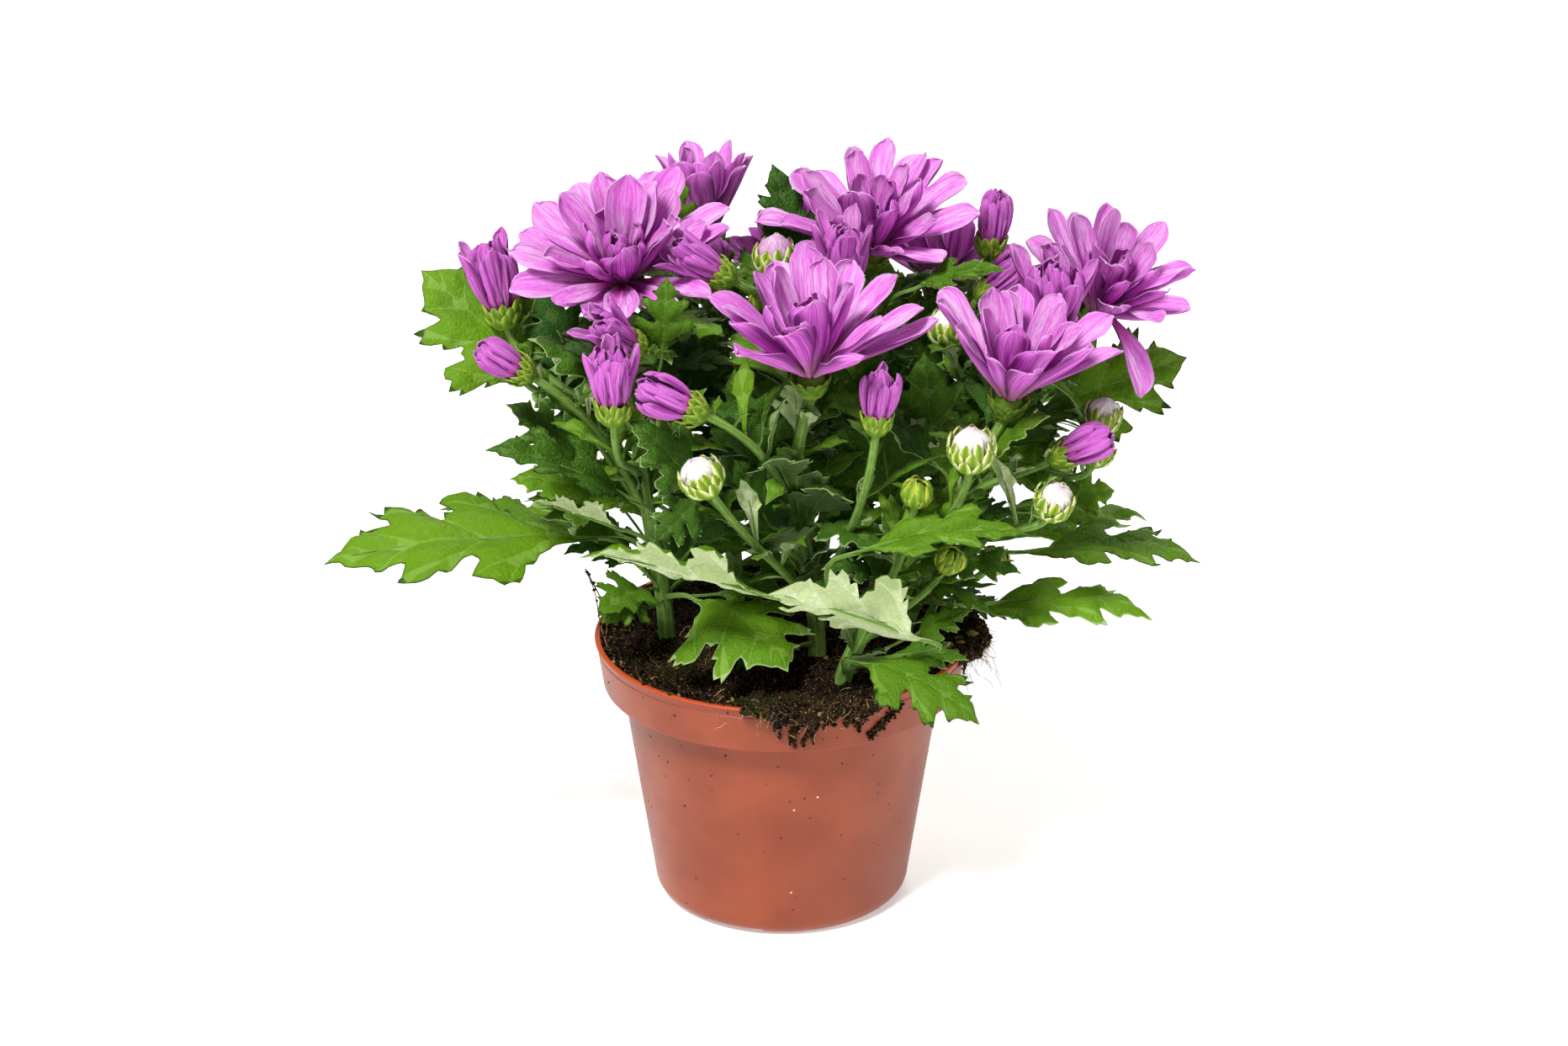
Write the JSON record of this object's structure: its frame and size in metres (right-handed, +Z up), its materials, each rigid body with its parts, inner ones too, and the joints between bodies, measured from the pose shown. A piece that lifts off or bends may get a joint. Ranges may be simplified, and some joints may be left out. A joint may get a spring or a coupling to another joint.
{
  "type": "potted chrysanthemum",
  "caption": "Potted spray chrysanthemum with orchid-pink blooms, half-open heads, pale buds and lobed leaves, rooted in soil in a round plastic nursery pot.",
  "frame": {"origin": "centre of the pot's foot, on the surface it stands on", "axes": "+Z up, -Y the front that is seen first, +X to its right"},
  "size_m": [0.273, 0.2067, 0.2421],
  "materials": {
    "terracotta_plastic": "matte moulded plastic with fine scratches",
    "peat": null,
    "leaf": null,
    "petal": null,
    "pale_petal": null
  },
  "bodies": {
    "root": {"bloom_back": "petal", "bloom_back_far_left": "petal", "bloom_back_left": "petal", "bloom_back_right": "petal", "bloom_front": "petal", "bloom_front_right": "petal", "bloom_left": "petal", "bloom_right": "petal", "bloom_top": "petal", "bud_back": "pale_petal", "bud_behind_front_right": "pale_petal", "bud_behind_right": "pale_petal", "bud_far_right": "pale_petal", "bud_pink_top": "pale_petal", "bud_white_centre": "pale_petal", "bud_white_left": "pale_petal", "bud_white_right": "pale_petal", "opening_back_top": "petal", "opening_behind_left": "petal", "opening_behind_top": "petal", "opening_far_left": "petal", "opening_far_left_back": "petal", "opening_far_right_back": "petal", "opening_front": "petal", "opening_front_left": "petal", "opening_left_front": "petal", "opening_left_low": "petal", "opening_middle": "petal", "opening_right": "petal", "opening_right_back": "petal", "opening_right_low": "petal", "opening_under_bloom": "petal", "opening_under_top": "petal", "pot": "terracotta_plastic", "soil": "peat", "stem_back_centre": "leaf", "stem_back_left": "leaf", "stem_back_right": "leaf", "stem_centre": "leaf", "stem_front_right": "leaf", "stem_left": "leaf", "stem_right": "leaf"}
  },
  "joints": []
}
